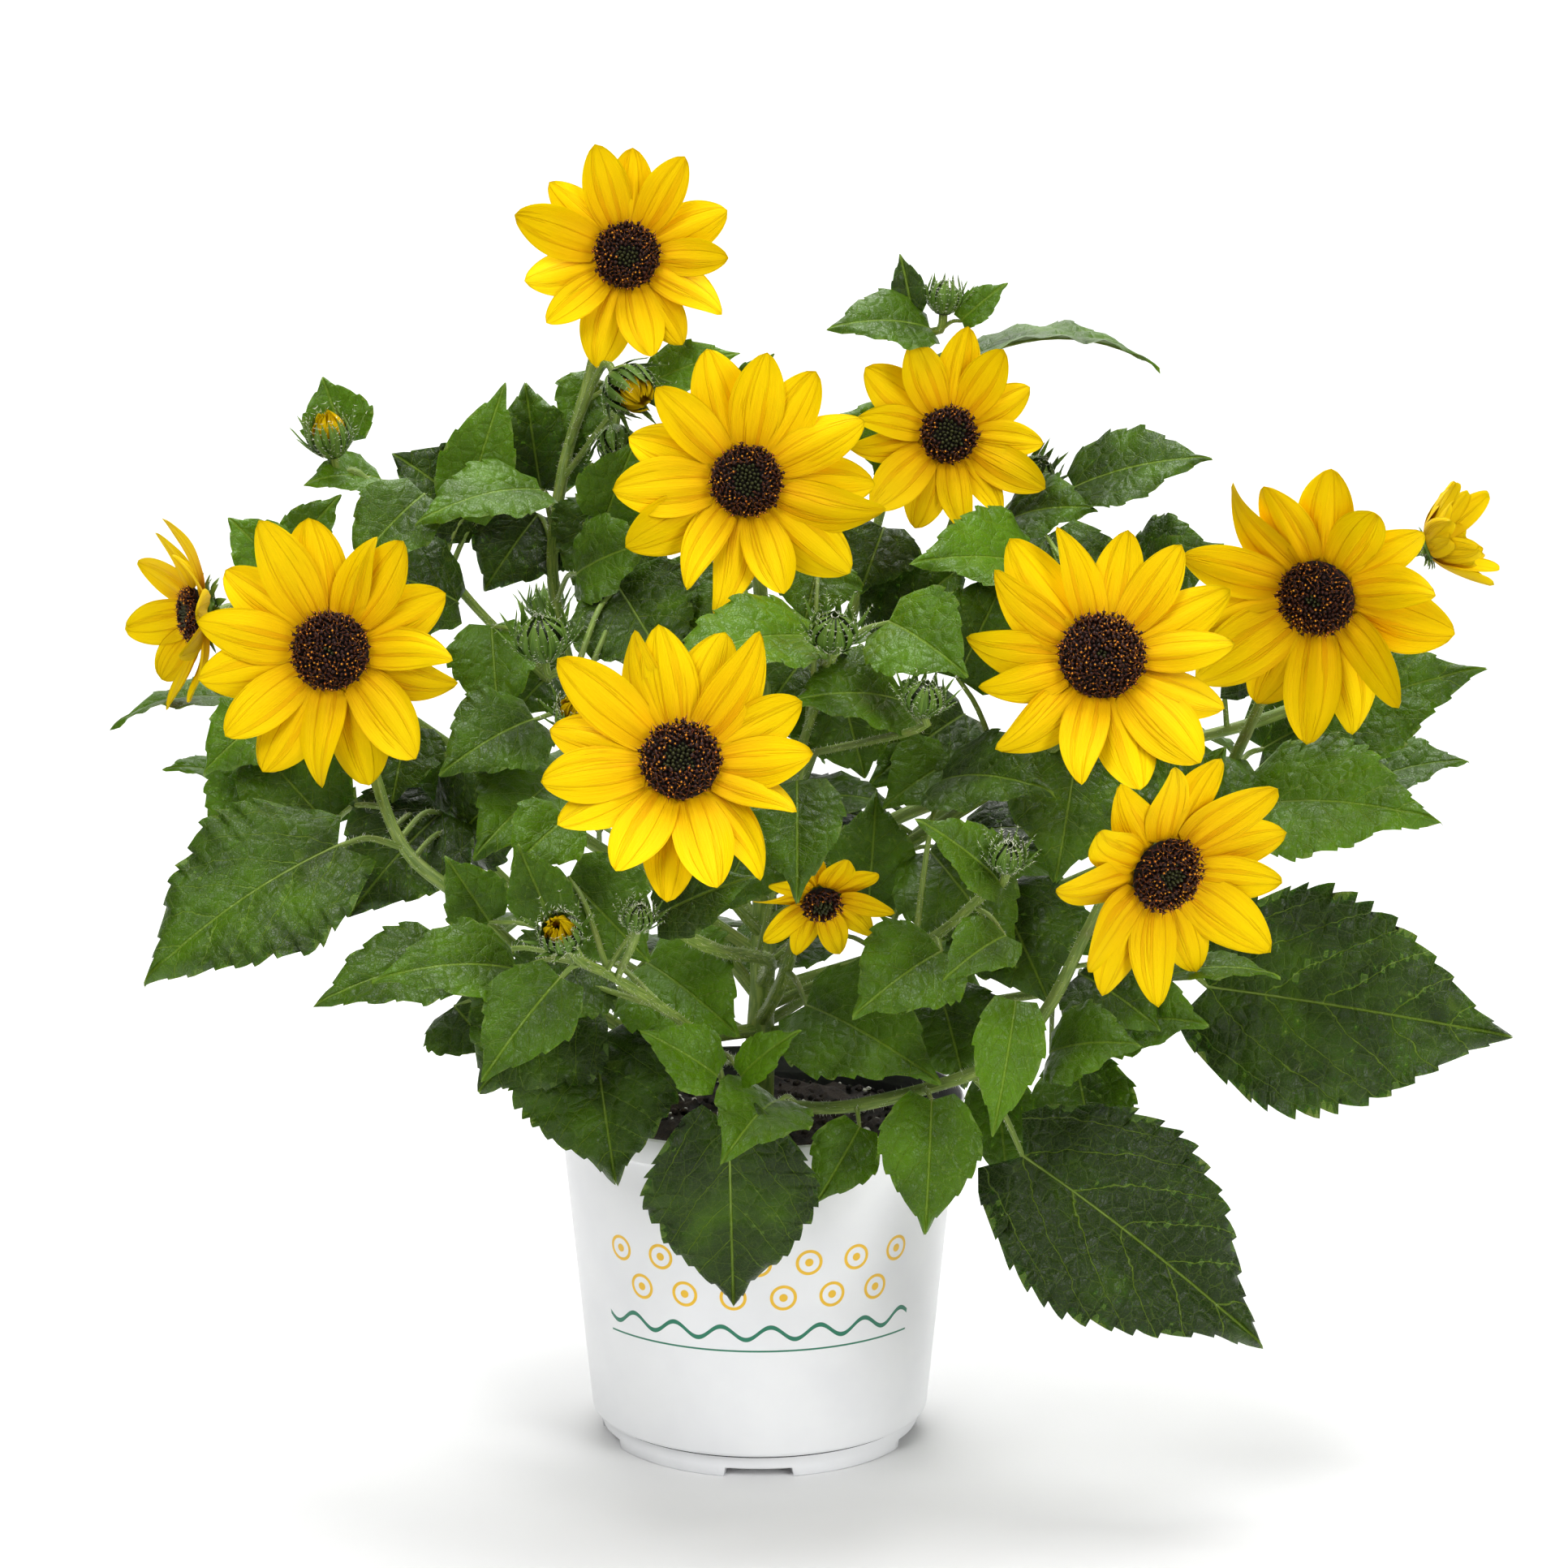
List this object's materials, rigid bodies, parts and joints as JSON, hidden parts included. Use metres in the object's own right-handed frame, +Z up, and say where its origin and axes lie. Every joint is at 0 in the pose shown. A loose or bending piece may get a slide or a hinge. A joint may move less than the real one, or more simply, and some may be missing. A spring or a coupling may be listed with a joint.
{
  "type": "potted sunflower",
  "caption": "Bushy potted sunflower with yellow ray petals round dark discs, toothed heart-shaped leaves and buds on hairy stems, in a white tapered nursery pot.",
  "frame": {"origin": "middle of the pot's underside, on the surface that the pot stands on", "axes": "+Z up, -Y towards the viewer of the plant's front, +X to that viewer's right"},
  "size_m": [0.7442, 0.4687, 0.7032],
  "materials": {
    "pot_white": "injection-moulded white polypropylene, slightly glossy",
    "soil_dark": "moist dark potting mix, crumbly",
    "leaf_green": "soft green leaf and stem with fine hairs, satin",
    "petal_yellow": "soft bright yellow petal, ribbed along its length",
    "disc_brown": "dark brown tubular florets, matt"
  },
  "bodies": {
    "root": {"pot": "pot_white", "soil": "soil_dark", "rays_crown": "petal_yellow", "disc_crown": "disc_brown", "rays_top": "petal_yellow", "disc_top": "disc_brown", "rays_upper_right": "petal_yellow", "disc_upper_right": "disc_brown", "rays_left": "petal_yellow", "disc_left": "disc_brown", "rays_front": "petal_yellow", "disc_front": "disc_brown", "rays_right": "petal_yellow", "disc_right": "disc_brown", "rays_far_right": "petal_yellow", "disc_far_right": "disc_brown", "rays_low_right": "petal_yellow", "disc_low_right": "disc_brown", "rays_small_front": "petal_yellow", "disc_small_front": "disc_brown", "rays_far_left": "petal_yellow", "disc_far_left": "disc_brown", "rays_half_open": "petal_yellow", "disc_half_open": "disc_brown", "rays_back_top": "petal_yellow", "disc_back_top": "disc_brown", "rays_back_right": "petal_yellow", "disc_back_right": "disc_brown", "tip_shoot_left": "petal_yellow", "tip_shoot_front": "petal_yellow", "tip_beside_top": "petal_yellow", "tip_beside_centre": "petal_yellow", "stem_crown": "leaf_green", "stem_top": "leaf_green", "stem_upper_right": "leaf_green", "stem_left": "leaf_green", "stem_front": "leaf_green", "stem_right": "leaf_green", "stem_far_right": "leaf_green", "stem_low_right": "leaf_green", "stem_small_front": "leaf_green", "stem_far_left": "leaf_green", "stem_half_open": "leaf_green", "stem_back_top": "leaf_green", "stem_back_right": "leaf_green", "stem_shoot_top": "leaf_green", "stem_shoot_left": "leaf_green", "stem_shoot_front": "leaf_green", "stem_shoot_right": "leaf_green", "stem_shoot_centre": "leaf_green", "stem_shoot_middle": "leaf_green", "stem_shoot_low": "leaf_green", "stem_shoot_back": "leaf_green", "stem_shoot_back_left": "leaf_green", "stem_shoot_back_right": "leaf_green"}
  },
  "joints": []
}
